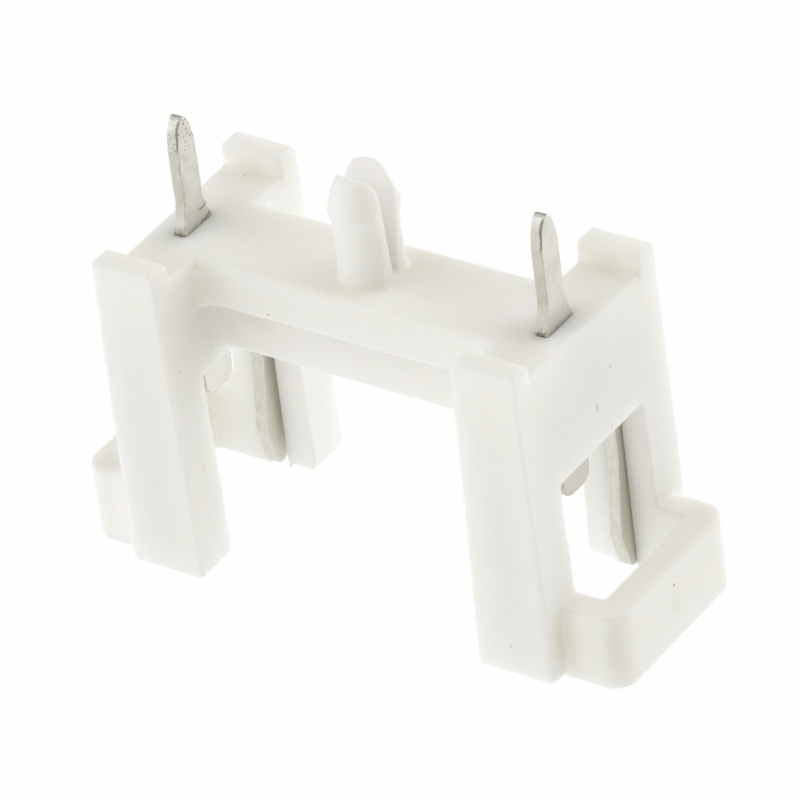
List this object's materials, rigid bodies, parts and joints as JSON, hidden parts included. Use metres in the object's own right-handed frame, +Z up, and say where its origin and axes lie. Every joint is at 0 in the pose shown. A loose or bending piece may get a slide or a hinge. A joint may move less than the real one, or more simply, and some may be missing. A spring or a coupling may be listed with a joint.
{
  "type": "pcb fuse holder",
  "caption": "Open moulded fuse holder for a circuit board: legs and end loops around the fuse, sheet-metal spring contacts with solder pins, and a split snap peg between them.",
  "frame": {"origin": "middle of the footprint, on the surface that the end loops stand on", "axes": "+X along the fuse, +Y across it, +Z up towards the board, so the pins and the peg point up"},
  "size_m": [0.0226, 0.0092, 0.0168],
  "materials": {
    "moulding": "satin, natural off-white",
    "tinned_sheet": "dull tin plating with bare sheared edges"
  },
  "bodies": {
    "root": {"housing": "moulding", "contact_left": "tinned_sheet", "contact_right": "tinned_sheet"}
  },
  "joints": []
}
